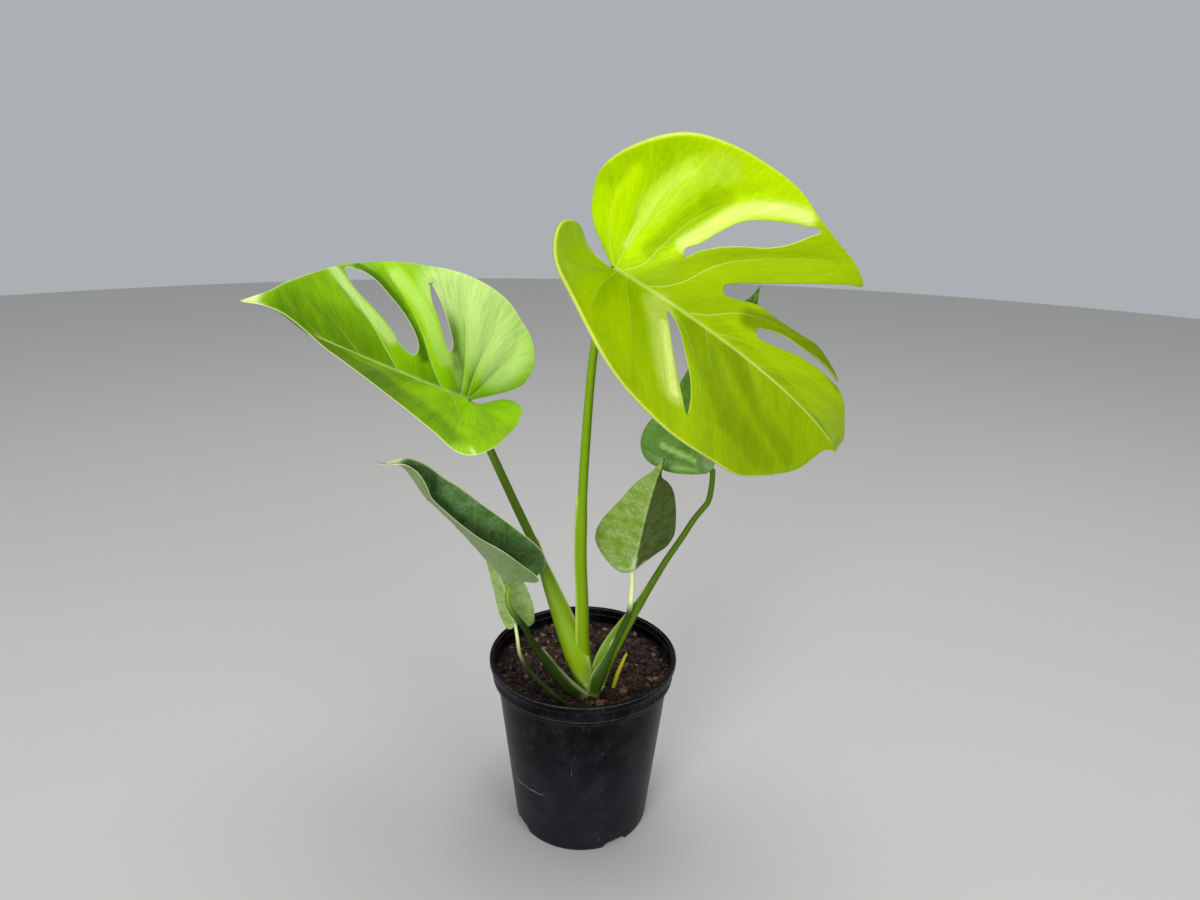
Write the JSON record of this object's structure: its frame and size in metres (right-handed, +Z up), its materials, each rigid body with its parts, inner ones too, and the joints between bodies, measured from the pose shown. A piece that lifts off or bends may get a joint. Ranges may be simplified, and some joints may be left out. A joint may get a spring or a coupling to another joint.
{
  "type": "potted monstera plant",
  "caption": "Young split-leaf plant with arching stalks and broad, holed and notched leaves, growing in a black nursery pot filled with potting mix.",
  "frame": {"origin": "middle of the pot's foot, on the surface it stands on", "axes": "+Z up along the pot's axis, +X to the viewer's right as the plant is seen in the picture, +Y away from the viewer"},
  "size_m": [0.4529, 0.2257, 0.5951],
  "materials": {
    "black_pot": "satin black moulded plastic with dust and fine scratches",
    "potting_mix": "dark, damp bark and fibre crumbs",
    "crown_stem": "smooth waxy stem with rings",
    "new_growth": "smooth, waxy",
    "young_leaf": "glossy, thin, light shows through",
    "grown_leaf": "glossy, with pale veins",
    "old_leaf": "satin, with fine pale speckles",
    "young_stalk": "satin, smooth",
    "grown_stalk": "satin, smooth",
    "old_stalk": "satin, faintly streaked",
    "pale_stalk": "satin, pale green"
  },
  "bodies": {
    "root": {"nursery_pot": "black_pot", "soil": "potting_mix", "crown": "crown_stem", "new_shoot": "new_growth", "top_leaf_blade": "young_leaf", "top_leaf_petiole": "young_stalk", "left_leaf_blade": "grown_leaf", "left_leaf_petiole": "grown_stalk", "rear_leaf_blade": "old_leaf", "rear_leaf_petiole": "old_stalk", "upright_leaf_blade": "old_leaf", "upright_leaf_petiole": "pale_stalk", "low_leaf_blade": "old_leaf", "low_leaf_petiole": "old_stalk", "small_leaf_blade": "old_leaf", "small_leaf_petiole": "pale_stalk"}
  },
  "joints": []
}
